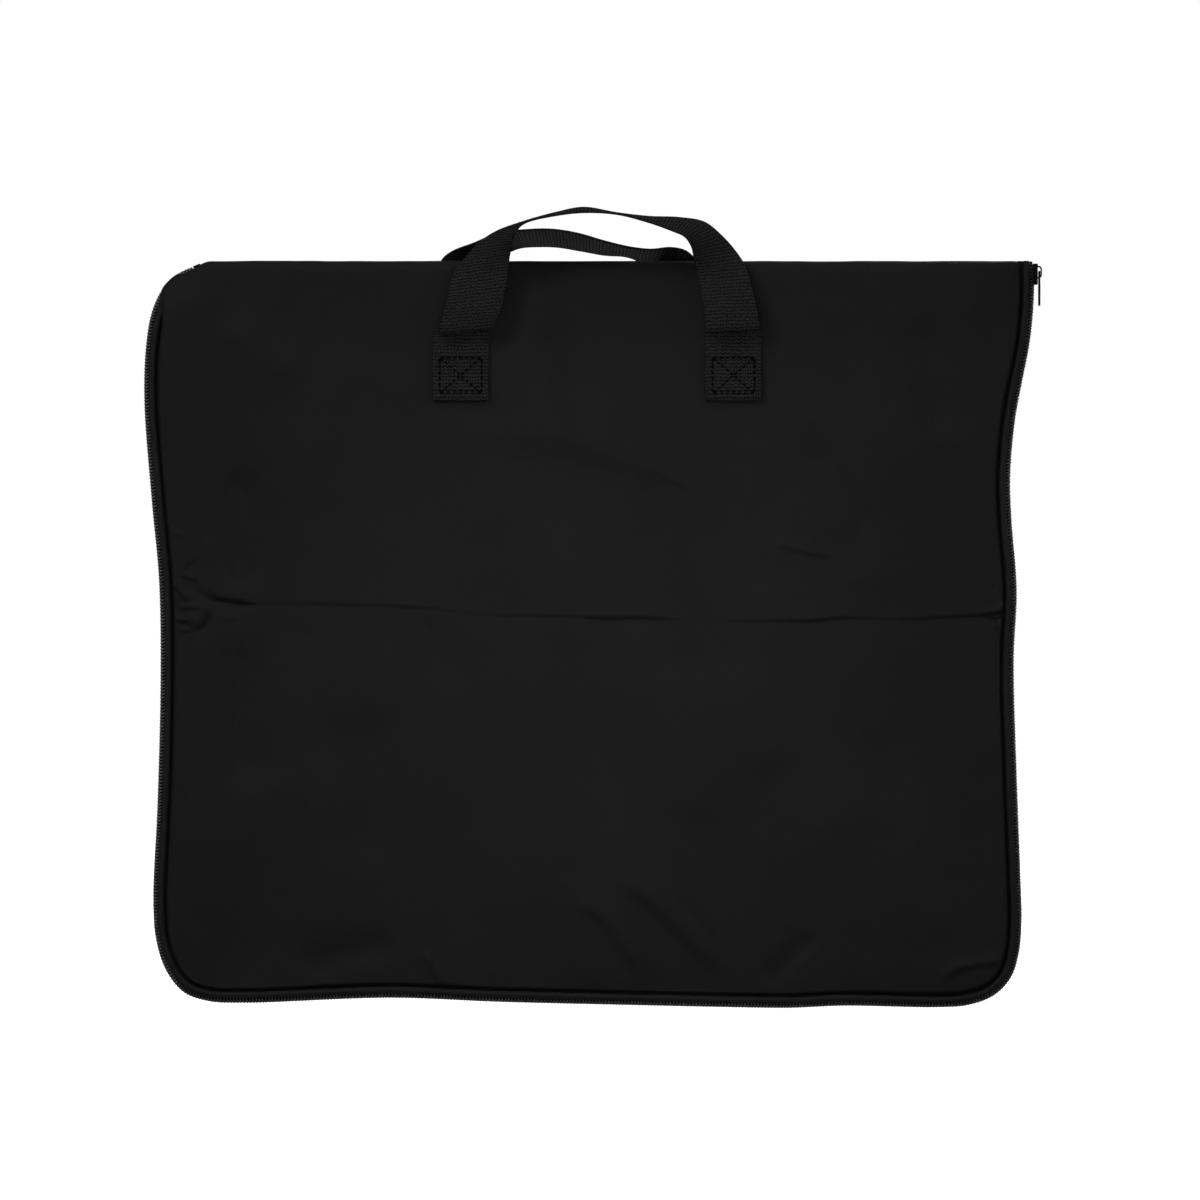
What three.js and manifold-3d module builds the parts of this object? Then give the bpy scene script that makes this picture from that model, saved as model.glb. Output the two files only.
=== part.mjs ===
// Soft portfolio case with a coil zip round three sides and two webbing handles.
// Millimetres, +Z up. Origin at the middle of the base. The front panel faces -Y.
// The fold that joins the two panels is the top edge, along X.
import * as THREE from 'three';
import { mergeVertices } from 'three/addons/utils/BufferGeometryUtils.js';
import Module from 'manifold-3d';

const wasm = await Module();
wasm.setup();

// ---------- driving dimensions ----------
const HEIGHT = 508;               // base of the zip to the top of the fold
const HALF_DEPTH = 10;            // middle plane to the outside of one panel

// Outer line of the zip teeth, as [x, z], from the top left end round to the top right end.
const ZIP_LINE = [
  [-266, 506.2], [-281, 499.5], [-292, 488.5], [-299, 473], [-303, 449], [-304, 412],
  [-299, 345], [-294, 290], [-293, 225], [-295, 141], [-298, 73],
  [-296, 46], [-289, 25], [-277, 10.5], [-260, 4.5],
  [-235, 3.4], [-137, 6.8], [-62, 4], [20, 2], [118, 0], [138, 0], [172, 1.4], [237, 0.4],
  [257, 2], [274, 8.5], [285.5, 20.5], [291, 37], [293, 60],
  [292.4, 84], [289.7, 155], [287.6, 237], [289.6, 284], [286, 333], [285.2, 362],
  [288.5, 400], [293.5, 427], [298.5, 453], [301, 478], [301.6, 505.5],
];
const STEPS_PER_SPAN = 2;

const CLOTH_INSET = 9.3;          // zip line to the edge of a panel's outer cloth
const FOAM_INSET = 12.5;
const CLOTH = 0.8;                // outer cloth thickness
const FOAM = 2.6;
const LINING = 0.6;
const GAP = 0.3;                  // between pieces that touch

// The fold: outer cloth rolls over the top on a quarter ellipse at each side.
const ROLL_HEIGHT = 9;
const ROLL_SPLIT_FRONT = 53;      // degrees up the roll where panel cloth ends and spine cloth starts
const ROLL_SPLIT_SPINE = 57.5;
const SPINE_X = [-247, 288.5];
const PANEL_TOP = HEIGHT - ROLL_HEIGHT;
const FOAM_TOP = HEIGHT - 10;
const LINING_TOP = HEIGHT - 3.2;

// Sections of the edge pieces, as [distance from the middle plane, distance out from the zip line].
const COIL_SECTION = [[0.2, -0.7], [0.9, 0], [2.4, 0], [3.3, -1], [3.3, -2.2], [2.4, -3.1], [0.2, -3.1]];
const TAPE_SECTION = [
  [1.2, -3.5], [6.8, -7], [8.3, -9.4], [8.3, -10.9], [7.6, -10.9], [6.2, -7.6], [0.9, -4.2],
];
const BINDING_SECTION = [
  [4.2, -2.9], [7.8, -3.9], [10.2, -6.8], [10.2, -9], [8.8, -9], [7.4, -6.6], [4, -4.3],
];
const STOP_LENGTH = 5;

// Handles, in 38 mm webbing.
const WEB_WIDTH = 38;
const WEB_THICK = 1.8;
const END_LOW = 412.8;
const END_HIGH = 454.5;
const LOOP_LOW = 458;             // the loop's own ends, just over the line it folds about
const LOOP_STEPS = 44;
const LEG_DEPTH = 11.6;           // middle plane to the middle of the webbing on a leg
const TWIST_CLEARANCE = 2;        // more room behind the webbing where it turns edge on
// Each loop as [x, z, twist]: twist 0 is flat against the panel, 90 is edge on, 180 flat again.
const FRONT_LOOP = [
  [-88.5, LOOP_LOW, 0], [-88.5, LOOP_LOW + 6, 0], [-86, 477, 8], [-82, 490, 30], [-77, 503, 60],
  [-68, 516, 82], [-54, 525, 90], [-32, 532, 90], [-4, 540, 90], [20, 539.5, 90], [48, 536, 90],
  [68, 529.5, 93], [80, 519, 105], [87, 505, 124], [91, 491, 150], [94, 477, 172],
  [96.5, LOOP_LOW + 6, 180], [96.5, LOOP_LOW, 180],
];
const BACK_LOOP = [
  [-86, LOOP_LOW, 0], [-86, LOOP_LOW + 6, 0], [-89, 480, 10], [-91, 493, 36], [-89, 506, 66],
  [-82, 516, 84], [-68, 523, 90], [-48, 527, 90], [-25, 528, 90], [2, 524, 90], [26, 518, 91],
  [44, 511, 98], [55, 501, 116], [60, 489, 144], [61, 476, 170], [60, LOOP_LOW + 6, 180],
  [60, LOOP_LOW, 180],
];
const STITCH_WIDTH = 27;
const STITCH_LOW = 417.5;
const STITCH_HIGH = 442;
const THREAD = 1.1;
const THREAD_RAISE = 0.4;

// Slider and pull, parked at the top of the right side.
const SLIDER_LOW = 492;
const SLIDER_LENGTH = 14;
const SLIDER_HALF_WIDTH = 5;
const FRONT_ZIP_END = 487;        // the front half of the zip stops below the slider
const CHAIN_X = 301.6;            // zip line beside the slider
const PIVOT_Z = 500.5;
const PIVOT_OUT = 3.1;            // pull's pivot, out from the zip line
const PULL_LENGTH = 23;

// ---------- materials ----------
const finish = (color, roughness, metalness = 0) => (
  new THREE.MeshStandardMaterial({ color, roughness, metalness })
);
const outerCloth = finish(0x1b1b1c, 0.78);
const liningCloth = finish(0x222224, 0.7);
const foam = finish(0x2c2c2e, 0.95);
const bindingCloth = finish(0x18181a, 0.6);
const tapeCloth = finish(0x161617, 0.8);
const coilNylon = finish(0x1d1d1f, 0.4);
const webbing = finish(0x1e1e20, 0.75);
const thread = finish(0x29292b, 0.6);
const sliderMetal = finish(0x202022, 0.35, 0.8);

// ---------- helpers ----------
const caseGroup = new THREE.Group();

function add(name, geometry, material) {
  const mesh = new THREE.Mesh(geometry, material);
  mesh.name = name;
  caseGroup.add(mesh);
  return mesh;
}

function toSolid(geometry) {
  const bare = geometry.index ? geometry.toNonIndexed() : geometry.clone();
  bare.deleteAttribute('normal');
  bare.deleteAttribute('uv');
  const merged = mergeVertices(bare, 1e-4);
  return new wasm.Manifold(new wasm.Mesh({
    numProp: 3,
    vertProperties: new Float32Array(merged.attributes.position.array),
    triVerts: new Uint32Array(merged.index.array),
  }));
}

function toGeometry(solid) {
  const mesh = solid.getMesh();
  const geometry = new THREE.BufferGeometry();
  geometry.setAttribute('position', new THREE.BufferAttribute(mesh.vertProperties, 3));
  geometry.setIndex(new THREE.BufferAttribute(mesh.triVerts, 1));
  return geometry;
}

const join = (geometries) => toGeometry(geometries.map(toSolid).reduce((sum, solid) => sum.add(solid)));

function box(x, y, z) {
  const geometry = new THREE.BoxGeometry(x[1] - x[0], y[1] - y[0], z[1] - z[0]);
  return geometry.translate((x[0] + x[1]) / 2, (y[0] + y[1]) / 2, (z[0] + z[1]) / 2);
}

// A curve sampled by its own points, so that the tight corners get the shortest steps.
class EdgeCurve extends THREE.CatmullRomCurve3 {
  getPointAt(u, target) {
    return this.getPoint(u, target);
  }

  getTangentAt(u, target) {
    return this.getTangent(u, target);
  }
}

const zipCurve = new EdgeCurve(ZIP_LINE.map(([x, z]) => new THREE.Vector3(x, 0, z)));

// The stretch of the zip line between two shares of its points.
function stretch(from, to) {
  const spans = ZIP_LINE.length - 1;
  const steps = Math.max(1, Math.round((to - from) * spans * STEPS_PER_SPAN));
  const points = [];
  for (let i = 0; i <= steps; i += 1) {
    points.push(zipCurve.getPoint(from + ((to - from) * i) / steps));
  }
  return { curve: new EdgeCurve(points), steps };
}

// Share of the zip line's points at which a test first holds, walking from the given end.
function shareWhere(test, fromEnd = false) {
  const fine = 4000;
  for (let i = 0; i <= fine; i += 1) {
    const share = fromEnd ? 1 - i / fine : i / fine;
    if (test(zipCurve.getPoint(share))) {
      return share;
    }
  }
  return fromEnd ? 0 : 1;
}

// Sweep a section round the edge; side is 1 for the front half and -1 for the back half.
function edgeSweep(section, side, from, to) {
  const { curve, steps } = stretch(from, to);
  const shape = new THREE.Shape(section.map(([depth, out]) => new THREE.Vector2(side * depth, out)));
  return new THREE.ExtrudeGeometry(shape, { steps, extrudePath: curve });
}

// The zip line moved inwards, closed along a straight top edge.
function panelShape(inset, top) {
  const spans = (ZIP_LINE.length - 1) * STEPS_PER_SPAN;
  const line = [];
  for (let i = 0; i <= spans; i += 1) {
    const point = zipCurve.getPoint(i / spans);
    const tangent = zipCurve.getTangent(i / spans);
    line.push(new THREE.Vector2(point.x - inset * tangent.z, point.z + inset * tangent.x));
  }
  const inside = line.filter((point) => point.y < top - 1);
  const toTop = (point, next) => {
    const slope = (point.x - next.x) / (point.y - next.y);
    return new THREE.Vector2(point.x + slope * (top - point.y), top);
  };
  const left = toTop(inside[0], inside[1]);
  const right = toTop(inside.at(-1), inside.at(-2));
  return new THREE.Shape([left, ...inside, right]);
}

// A flat sheet with the panel's outline, between two distances in front of (1) or behind (-1) the middle.
function panelSheet(inset, top, near, far, side) {
  const geometry = new THREE.ExtrudeGeometry(panelShape(inset, top), { depth: far - near, bevelEnabled: false });
  geometry.rotateX(Math.PI / 2);
  return geometry.translate(0, side === 1 ? -near : far, 0);
}

// Cloth rolled over the fold between two angles, along X.
function roll(from, to, x, side) {
  const slices = 6;
  const arc = (shrink) => Array.from({ length: slices + 1 }, (_, i) => {
    const angle = THREE.MathUtils.degToRad(from + ((to - from) * i) / slices);
    const y = (HALF_DEPTH - shrink) * Math.cos(angle);
    const z = PANEL_TOP + (ROLL_HEIGHT - shrink) * Math.sin(angle);
    return new THREE.Vector2(z, -side * y);
  });
  const shape = new THREE.Shape([...arc(0), ...arc(CLOTH).reverse()]);
  const geometry = new THREE.ExtrudeGeometry(shape, { depth: x[1] - x[0], bevelEnabled: false });
  // section (z, y) on the page, drawn along X
  geometry.applyMatrix4(new THREE.Matrix4().set(0, 0, 1, x[0], 0, 1, 0, 0, 1, 0, 0, 0, 0, 0, 0, 1));
  return geometry;
}

// Extruded shapes come out inside in when a mirror is in the transform, so such faces are turned over.
function turnedOut(geometry) {
  const solid = geometry.index ? geometry.toNonIndexed() : geometry;
  const p = solid.attributes.position;
  let volume = 0;
  const a = new THREE.Vector3();
  const b = new THREE.Vector3();
  const c = new THREE.Vector3();
  for (let i = 0; i < p.count; i += 3) {
    a.fromBufferAttribute(p, i);
    b.fromBufferAttribute(p, i + 1);
    c.fromBufferAttribute(p, i + 2);
    volume += a.dot(b.cross(c));
  }
  if (volume < 0) {
    for (let i = 0; i < p.count; i += 3) {
      a.fromBufferAttribute(p, i);
      b.fromBufferAttribute(p, i + 1);
      p.setXYZ(i, b.x, b.y, b.z);
      p.setXYZ(i + 1, a.x, a.y, a.z);
    }
  }
  return solid;
}

// A webbing loop: a flat bar whose stations follow a curve and turn with the twist.
function webbingLoop(stations, side) {
  const points = stations.map(([x, z, twist]) => new THREE.Vector3(x, twist, z));
  const curve = new THREE.CatmullRomCurve3(points);
  const geometry = new THREE.BoxGeometry(WEB_WIDTH, WEB_THICK, 1, 1, 1, LOOP_STEPS);
  const place = (u) => {
    const { x, y: twist, z } = curve.getPoint(u);
    const turn = THREE.MathUtils.degToRad(THREE.MathUtils.clamp(twist, 0, 180));
    const depth = LEG_DEPTH + (WEB_WIDTH / 2 + TWIST_CLEARANCE) * Math.sin(turn);
    return { at: new THREE.Vector3(x, -side * depth, z), turn };
  };
  const p = geometry.attributes.position;
  for (let i = 0; i < p.count; i += 1) {
    const u = p.getZ(i) + 0.5;
    const { at, turn } = place(u);
    const ahead = place(Math.min(1, u + 0.004)).at;
    const behind = place(Math.max(0, u - 0.004)).at;
    const along = ahead.sub(behind).normalize();
    const across = new THREE.Vector3(Math.cos(turn), -side * Math.sin(turn), 0);
    across.addScaledVector(along, -across.dot(along)).normalize();
    const out = new THREE.Vector3().crossVectors(across, along).multiplyScalar(side);
    at.addScaledVector(across, p.getX(i)).addScaledVector(out, p.getY(i));
    p.setXYZ(i, at.x, at.y, at.z);
  }
  return geometry;
}

// One sewn square with its two diagonals, as raised thread on a handle end.
function boxAndCross(x, side) {
  const face = HALF_DEPTH + GAP + WEB_THICK + GAP;
  const wide = STITCH_WIDTH;
  const tall = STITCH_HIGH - STITCH_LOW;
  const middle = (STITCH_HIGH + STITCH_LOW) / 2;
  const bar = (length, dx, dz, angle) => {
    const geometry = new THREE.BoxGeometry(length, THREAD_RAISE, THREAD);
    geometry.rotateY(angle);
    return geometry.translate(x + dx, -side * (face + THREAD_RAISE / 2), middle + dz);
  };
  const slant = Math.atan2(tall, wide);
  const diagonal = Math.hypot(wide, tall);
  return join([
    bar(wide + THREAD, 0, tall / 2, 0),
    bar(wide + THREAD, 0, -tall / 2, 0),
    bar(tall, -wide / 2, 0, Math.PI / 2),
    bar(tall, wide / 2, 0, Math.PI / 2),
    bar(diagonal, 0, 0, slant),
    bar(diagonal, 0, 0, -slant),
  ]);
}

// ---------- one half of the case ----------
function panelHalf(name, side, loop, zipEnd) {
  const stopEnd = shareWhere((point) => point.distanceTo(zipCurve.getPoint(0)) > STOP_LENGTH);
  const coilStart = shareWhere((point) => point.distanceTo(zipCurve.getPoint(0)) > STOP_LENGTH + GAP);
  const sheet = panelSheet(CLOTH_INSET, PANEL_TOP + 0.05, HALF_DEPTH - CLOTH, HALF_DEPTH, side);
  const shoulder = roll(0, ROLL_SPLIT_FRONT, SPINE_X, side);
  add(`${name}_outer_cloth`, join([turnedOut(sheet), turnedOut(shoulder)]), outerCloth);
  const foamFar = HALF_DEPTH - CLOTH - GAP;
  const foamNear = foamFar - FOAM;
  add(`${name}_foam_pad`, turnedOut(panelSheet(FOAM_INSET, FOAM_TOP, foamNear, foamFar, side)), foam);
  const liningFar = foamNear - GAP;
  const lining = panelSheet(CLOTH_INSET, LINING_TOP, liningFar - LINING, liningFar, side);
  add(`${name}_lining`, turnedOut(lining), liningCloth);
  add(`${name}_edge_binding`, turnedOut(edgeSweep(BINDING_SECTION, side, 0, zipEnd)), bindingCloth);
  add(`${name}_zip_tape`, turnedOut(edgeSweep(TAPE_SECTION, side, 0, zipEnd)), tapeCloth);
  add(`${name}_zip_coil`, turnedOut(edgeSweep(COIL_SECTION, side, coilStart, zipEnd)), coilNylon);
  add(`${name}_zip_stop`, turnedOut(edgeSweep(COIL_SECTION, side, 0, stopEnd)), sliderMetal);

  const face = side * (HALF_DEPTH + GAP);
  const endY = [-face, -face - side * WEB_THICK].sort((a, b) => a - b);
  const ends = [['left', loop[0][0]], ['right', loop.at(-1)[0]]];
  for (const [word, x] of ends) {
    const across = [x - WEB_WIDTH / 2, x + WEB_WIDTH / 2];
    add(`${name}_handle_end_${word}`, box(across, endY, [END_LOW, END_HIGH]), webbing);
    add(`${name}_stitching_${word}`, boxAndCross(x, side), thread);
  }
  add(`${name}_handle_loop`, turnedOut(webbingLoop(loop, side)), webbing);
}

// ---------- slider and pull ----------
function slider() {
  const high = SLIDER_LOW + SLIDER_LENGTH;
  const plate = [CHAIN_X + 0.5, CHAIN_X + 1.8];
  const half = SLIDER_HALF_WIDTH;
  const wall = 1.1;
  const parts = [
    box(plate, [-half, half], [SLIDER_LOW, high]),
    box([CHAIN_X - 1.6, plate[0] + 0.2], [-half, -half + wall], [SLIDER_LOW, high]),
    box([CHAIN_X - 1.6, plate[0] + 0.2], [half - wall, half], [SLIDER_LOW, high]),
  ];
  // the bridge that holds the pull, drawn as an arch seen from the front
  const arch = new THREE.Shape();
  const foot = 4.4;
  const rise = 3.2;
  arch.moveTo(-foot, 0);
  arch.quadraticCurveTo(-foot, rise, -foot + 2.6, rise);
  arch.lineTo(foot - 2.6, rise);
  arch.quadraticCurveTo(foot, rise, foot, 0);
  arch.lineTo(foot - 1, 0);
  arch.quadraticCurveTo(foot - 1, rise - 0.9, foot - 2.8, rise - 0.9);
  arch.lineTo(-foot + 2.8, rise - 0.9);
  arch.quadraticCurveTo(-foot + 1, rise - 0.9, -foot + 1, 0);
  const bridge = new THREE.ExtrudeGeometry(arch, { depth: 2, bevelEnabled: false, curveSegments: 4 });
  // page x along +Z, page y along +X, thickness along Y
  bridge.applyMatrix4(new THREE.Matrix4().set(
    0, 1, 0, plate[1] - 0.1,
    0, 0, 1, -1,
    1, 0, 0, PIVOT_Z,
    0, 0, 0, 1,
  ));
  parts.push(turnedOut(bridge));
  return join(parts);
}

function pull() {
  const x = CHAIN_X + PIVOT_OUT;
  const low = PIVOT_Z - PULL_LENGTH;
  const half = 0.55;
  const shape = new THREE.Shape();
  shape.moveTo(-3, 0.6);
  shape.lineTo(3, 0.6);
  shape.lineTo(3, -8);
  shape.lineTo(4, -11);
  shape.lineTo(4, low - PIVOT_Z + 3);
  shape.quadraticCurveTo(4, low - PIVOT_Z, 0, low - PIVOT_Z);
  shape.quadraticCurveTo(-4, low - PIVOT_Z, -4, low - PIVOT_Z + 3);
  shape.lineTo(-4, -11);
  shape.lineTo(-3, -8);
  shape.closePath();
  const window = new THREE.Path();
  window.moveTo(-1.6, -0.6);
  window.lineTo(-1.6, -7);
  window.lineTo(1.6, -7);
  window.lineTo(1.6, -0.6);
  window.closePath();
  shape.holes.push(window);
  const plate = new THREE.ExtrudeGeometry(shape, { depth: 2 * half, bevelEnabled: false, curveSegments: 6 });
  // page x along Y, page y along Z, thickness along X
  plate.applyMatrix4(new THREE.Matrix4().set(0, 0, 1, x - half, 1, 0, 0, 0, 0, 1, 0, PIVOT_Z, 0, 0, 0, 1));
  return turnedOut(plate);
}

// ---------- the case ----------
const frontEnd = shareWhere((point) => point.x > 0 && point.z < FRONT_ZIP_END, true);
panelHalf('front', 1, FRONT_LOOP, frontEnd);
panelHalf('back', -1, BACK_LOOP, 1);

add('spine_cloth', turnedOut(roll(ROLL_SPLIT_SPINE, 180 - ROLL_SPLIT_SPINE, SPINE_X, 1)), outerCloth);
add('zip_slider', slider(), sliderMetal);
add('zip_pull', pull(), sliderMetal);

export default caseGroup;
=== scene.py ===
"""Looks of the portfolio case: black nylon cloth, coil zip and webbing handles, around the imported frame."""

import math

import bpy
import numpy as np
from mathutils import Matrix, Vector, noise


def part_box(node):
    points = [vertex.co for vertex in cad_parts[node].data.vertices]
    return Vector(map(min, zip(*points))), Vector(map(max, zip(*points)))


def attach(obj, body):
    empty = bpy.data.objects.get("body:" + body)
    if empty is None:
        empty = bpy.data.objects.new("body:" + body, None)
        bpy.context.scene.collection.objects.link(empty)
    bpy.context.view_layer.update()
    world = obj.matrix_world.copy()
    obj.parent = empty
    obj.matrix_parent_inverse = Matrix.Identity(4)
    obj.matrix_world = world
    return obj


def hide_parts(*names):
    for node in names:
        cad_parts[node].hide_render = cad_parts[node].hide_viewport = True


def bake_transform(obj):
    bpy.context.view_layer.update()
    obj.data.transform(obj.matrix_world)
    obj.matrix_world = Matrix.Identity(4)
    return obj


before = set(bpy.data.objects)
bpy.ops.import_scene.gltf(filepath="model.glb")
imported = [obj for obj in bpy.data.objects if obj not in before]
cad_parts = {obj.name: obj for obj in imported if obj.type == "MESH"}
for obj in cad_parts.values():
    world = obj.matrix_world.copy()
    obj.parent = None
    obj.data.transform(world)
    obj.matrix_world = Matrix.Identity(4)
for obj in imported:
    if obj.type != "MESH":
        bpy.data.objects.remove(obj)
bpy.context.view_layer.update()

MM = 0.001

# ---------- the case's own dimensions, in millimetres, as in the CAD ----------
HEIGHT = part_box("spine_cloth")[1].z / MM
HALF_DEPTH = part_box("back_outer_cloth")[1].y / MM
ROLL_HEIGHT = 9
PANEL_TOP = HEIGHT - ROLL_HEIGHT
CLOTH_EDGE = 8.6                 # zip line to the hidden edge of the outer cloth
LINING_DEPTH = 5.6
LINING_X = (-257, 289.5)         # ends of the lining along the fold
FOLD_X = (-281.2, 292.8)         # ends of the rolled fold
LEAST_DEPTH = 4.3                # no cloth of a panel comes nearer the middle plane, so only the fold bends
COIL_PITCH = 2.2
FRONT_LEFT = (-107.5, -69.5)     # edges of the four sewn handle ends, outer edge first
FRONT_RIGHT = (115.5, 77.5)
BACK_LEFT = (-105, -67)
BACK_RIGHT = (79, 41)
SEWN_Z = (411, 462)              # heights between which the cloth lies flat under the sewn ends
THREAD_DEPTH = 13.45             # face of the sewn webbing, where the thread lies
WEB_THICK = 1.7
WEB_WIDE = 38

# Outer line of the zip teeth, as (x, z), from the top left end round to the top right end.
ZIP_LINE = [
    (-266, 506.2), (-281, 499.5), (-292, 488.5), (-299, 473), (-303, 449), (-304, 412),
    (-299, 345), (-294, 290), (-293, 225), (-295, 141), (-298, 73),
    (-296, 46), (-289, 25), (-277, 10.5), (-260, 4.5),
    (-235, 3.4), (-137, 6.8), (-62, 4), (20, 2), (118, 0), (138, 0), (172, 1.4), (237, 0.4),
    (257, 2), (274, 8.5), (285.5, 20.5), (291, 37), (293, 60),
    (292.4, 84), (289.7, 155), (287.6, 237), (289.6, 284), (286, 333), (285.2, 362),
    (288.5, 400), (293.5, 427), (298.5, 453), (301, 478), (301.6, 505.5),
]


# ---------- curves ----------
def centripetal(points, per_span):
    """Points along a centripetal Catmull-Rom curve, the one that the CAD uses."""
    p = np.array(points, float)
    p = np.vstack([2 * p[0] - p[1], p, 2 * p[-1] - p[-2]])
    out = []
    for a, b, c, d in zip(p[:-3], p[1:-2], p[2:-1], p[3:]):
        g0, g1, g2 = (max(np.linalg.norm(y - x), 1e-6) ** 0.5 for x, y in ((a, b), (b, c), (c, d)))
        t1 = ((b - a) / g0 - (c - a) / (g0 + g1) + (c - b) / g1) * g1
        t2 = ((c - b) / g1 - (d - b) / (g1 + g2) + (d - c) / g2) * g1
        t = np.linspace(0, 1, per_span, endpoint=False)[:, None]
        out.append(b + t1 * t + (3 * (c - b) - 2 * t1 - t2) * t**2 + (2 * (b - c) + t1 + t2) * t**3)
    return np.vstack([*out, p[-2][None]])


def lengths(points):
    """Distance along a line at each of its points."""
    step = np.linalg.norm(np.diff(points, axis=0), axis=1)
    return np.concatenate([[0], np.cumsum(step)])


def even(points, count):
    """The same line as count points, evenly spaced."""
    s = lengths(points)
    at = np.linspace(0, s[-1], count)
    return np.column_stack([np.interp(at, s, points[:, k]) for k in range(points.shape[1])])


ZIP = even(centripetal(ZIP_LINE, 24), 1700)
ZIP_S = lengths(ZIP)
ZIP_WAY = np.gradient(ZIP, axis=0)
ZIP_WAY /= np.linalg.norm(ZIP_WAY, axis=1)[:, None]
ZIP_OUT = np.column_stack([ZIP_WAY[:, 1], -ZIP_WAY[:, 0]])


def on_zip(s):
    """Points at arc length s along the zip line, which runs on straight past its end, and the way out."""
    p = np.column_stack([np.interp(s, ZIP_S, ZIP[:, k]) for k in (0, 1)])
    n = np.column_stack([np.interp(s, ZIP_S, ZIP_OUT[:, k]) for k in (0, 1)])
    n /= np.linalg.norm(n, axis=1)[:, None]
    past = np.clip(np.asarray(s) - ZIP_S[-1], 0, None)
    return p + past[..., None] * ZIP_WAY[-1], n


def smooth_step(t):
    """Rises smoothly from 0 to 1 as t does."""
    t = np.clip(t, 0, 1)
    return t * t * (3 - 2 * t)


NOISE_GAIN = 1.6                 # brings the noise near to -1 to 1


def wander(values, scale, seed):
    """Smooth noise along a line, roughly from -1 to 1."""
    return np.array([noise.noise(Vector((v / scale, seed * 7.31, seed * 1.7))) for v in values]) * NOISE_GAIN


def noise_field(x, z, scale, seed):
    """Smooth noise over a surface, worked out on a coarse grid and spread between its points."""
    xs = np.arange(-330, 331, scale / 4)
    zs = np.arange(-30, 561, scale / 4)
    table = [[noise.noise(Vector((a / scale, b / scale, seed * 3.7))) for b in zs] for a in xs]
    table = np.array(table) * NOISE_GAIN
    fx = np.clip((x - xs[0]) / (scale / 4), 0, len(xs) - 1.001)
    fz = np.clip((z - zs[0]) / (scale / 4), 0, len(zs) - 1.001)
    i, j = fx.astype(int), fz.astype(int)
    u, v = smooth_step(fx - i), smooth_step(fz - j)
    low = table[i, j] * (1 - u) + table[i + 1, j] * u
    high = table[i, j + 1] * (1 - u) + table[i + 1, j + 1] * u
    return low * (1 - v) + high * v


# ---------- meshes ----------
def make(name, verts, faces, material, uv=None):
    """A smooth mesh object from points in millimetres; uv is one pair for each point, in millimetres too."""
    mesh = bpy.data.meshes.new(name)
    points = [tuple(v) for v in np.asarray(verts, float) * MM]
    mesh.from_pydata(points, [], [tuple(int(i) for i in f) for f in faces])
    mesh.update()
    if uv is not None:
        layer = mesh.uv_layers.new(name="weave")
        index = np.zeros(len(mesh.loops), np.int32)
        mesh.loops.foreach_get("vertex_index", index)
        layer.data.foreach_set("uv", (np.asarray(uv, float) * MM)[index].astype(np.float32).ravel())
    mesh.shade_smooth()
    mesh.materials.append(material)
    obj = bpy.data.objects.new(name, mesh)
    bpy.context.scene.collection.objects.link(obj)
    return obj


def grid_faces(rows, columns, offset=0, wrap=False):
    """Quads of a grid of rows by columns points; wrap joins the last column to the first."""
    last = columns if wrap else columns - 1
    i, j = np.meshgrid(np.arange(rows - 1), np.arange(last), indexing="ij")
    a = i * columns + j
    b = i * columns + (j + 1) % columns
    quads = np.stack([a, b, b + columns, a + columns], -1).reshape(-1, 4)
    return quads + offset


def tube(name, rings, material, uv=None, flip=False):
    """A closed tube through rings, an array of rings by points by 3, with a cap at each end."""
    rings = np.asarray(rings, float)
    count, sides = rings.shape[:2]
    faces = [list(f) for f in grid_faces(count, sides, wrap=True)]
    faces.append(list(range(sides))[::-1])
    faces.append([(count - 1) * sides + k for k in range(sides)])
    if flip:
        faces = [f[::-1] for f in faces]
    uv = None if uv is None else np.asarray(uv).reshape(-1, 2)
    return make(name, rings.reshape(-1, 3), faces, material, uv)


def edge_rings(s, section, side, lift=None, swell=None):
    """Rings of a section, of (distance from the middle plane, distance out) points, at each arc length of the
    zip line. side is 1 for the front half and -1 for the back half; lift moves each ring away from the middle
    plane and swell scales it."""
    section = np.asarray(section, float)
    centre = section.mean(axis=0)
    rings = []
    base, out = on_zip(s)
    for k in range(len(s)):
        shape = section if swell is None else centre + (section - centre) * swell[k]
        depth = shape[:, 0] + (0 if lift is None else lift[k])
        p = base[k][None] + shape[:, 1][:, None] * out[k][None]
        rings.append(np.column_stack([p[:, 0], -side * depth, p[:, 1]]))
    return np.array(rings)


def rounded(points, per_corner=4, sharp=0.35):
    """A polygon with its corners rounded off."""
    p = np.asarray(points, float)
    out = []
    for a, b, c in zip(np.roll(p, 1, 0), p, np.roll(p, -1, 0)):
        for t in np.linspace(0, 1, per_corner):
            start = b + (a - b) * sharp
            end = b + (c - b) * sharp
            out.append((1 - t) ** 2 * start + 2 * t * (1 - t) * b + t**2 * end)
    return np.array(out)


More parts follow.
